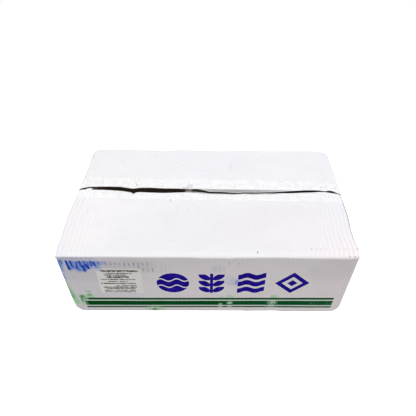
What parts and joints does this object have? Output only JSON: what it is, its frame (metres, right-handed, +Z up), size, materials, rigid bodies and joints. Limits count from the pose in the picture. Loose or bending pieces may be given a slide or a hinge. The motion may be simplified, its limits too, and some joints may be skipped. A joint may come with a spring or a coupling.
{
  "type": "shut corrugated carton of salted seaweed stalks",
  "caption": "Shut white corrugated carton packed with salted seaweed stalks, clear tape over the middle slit and down both ends, paper label on the front wall.",
  "frame": {"origin": "middle of the base, on the surface that the carton stands on", "axes": "+X along the long side, to the right when facing the front wall; +Y from the front wall to the back wall; +Z up"},
  "size_m": [0.4156, 0.2427, 0.137],
  "materials": {
    "white_board": "matt white liner on corrugated board",
    "clear_tape": "clear film with small trapped bubbles",
    "label_paper": "matt off-white paper"
  },
  "bodies": {
    "root": {"carton": "white_board", "tape_top": "clear_tape", "tape_base": "clear_tape", "label": "label_paper"}
  },
  "joints": []
}
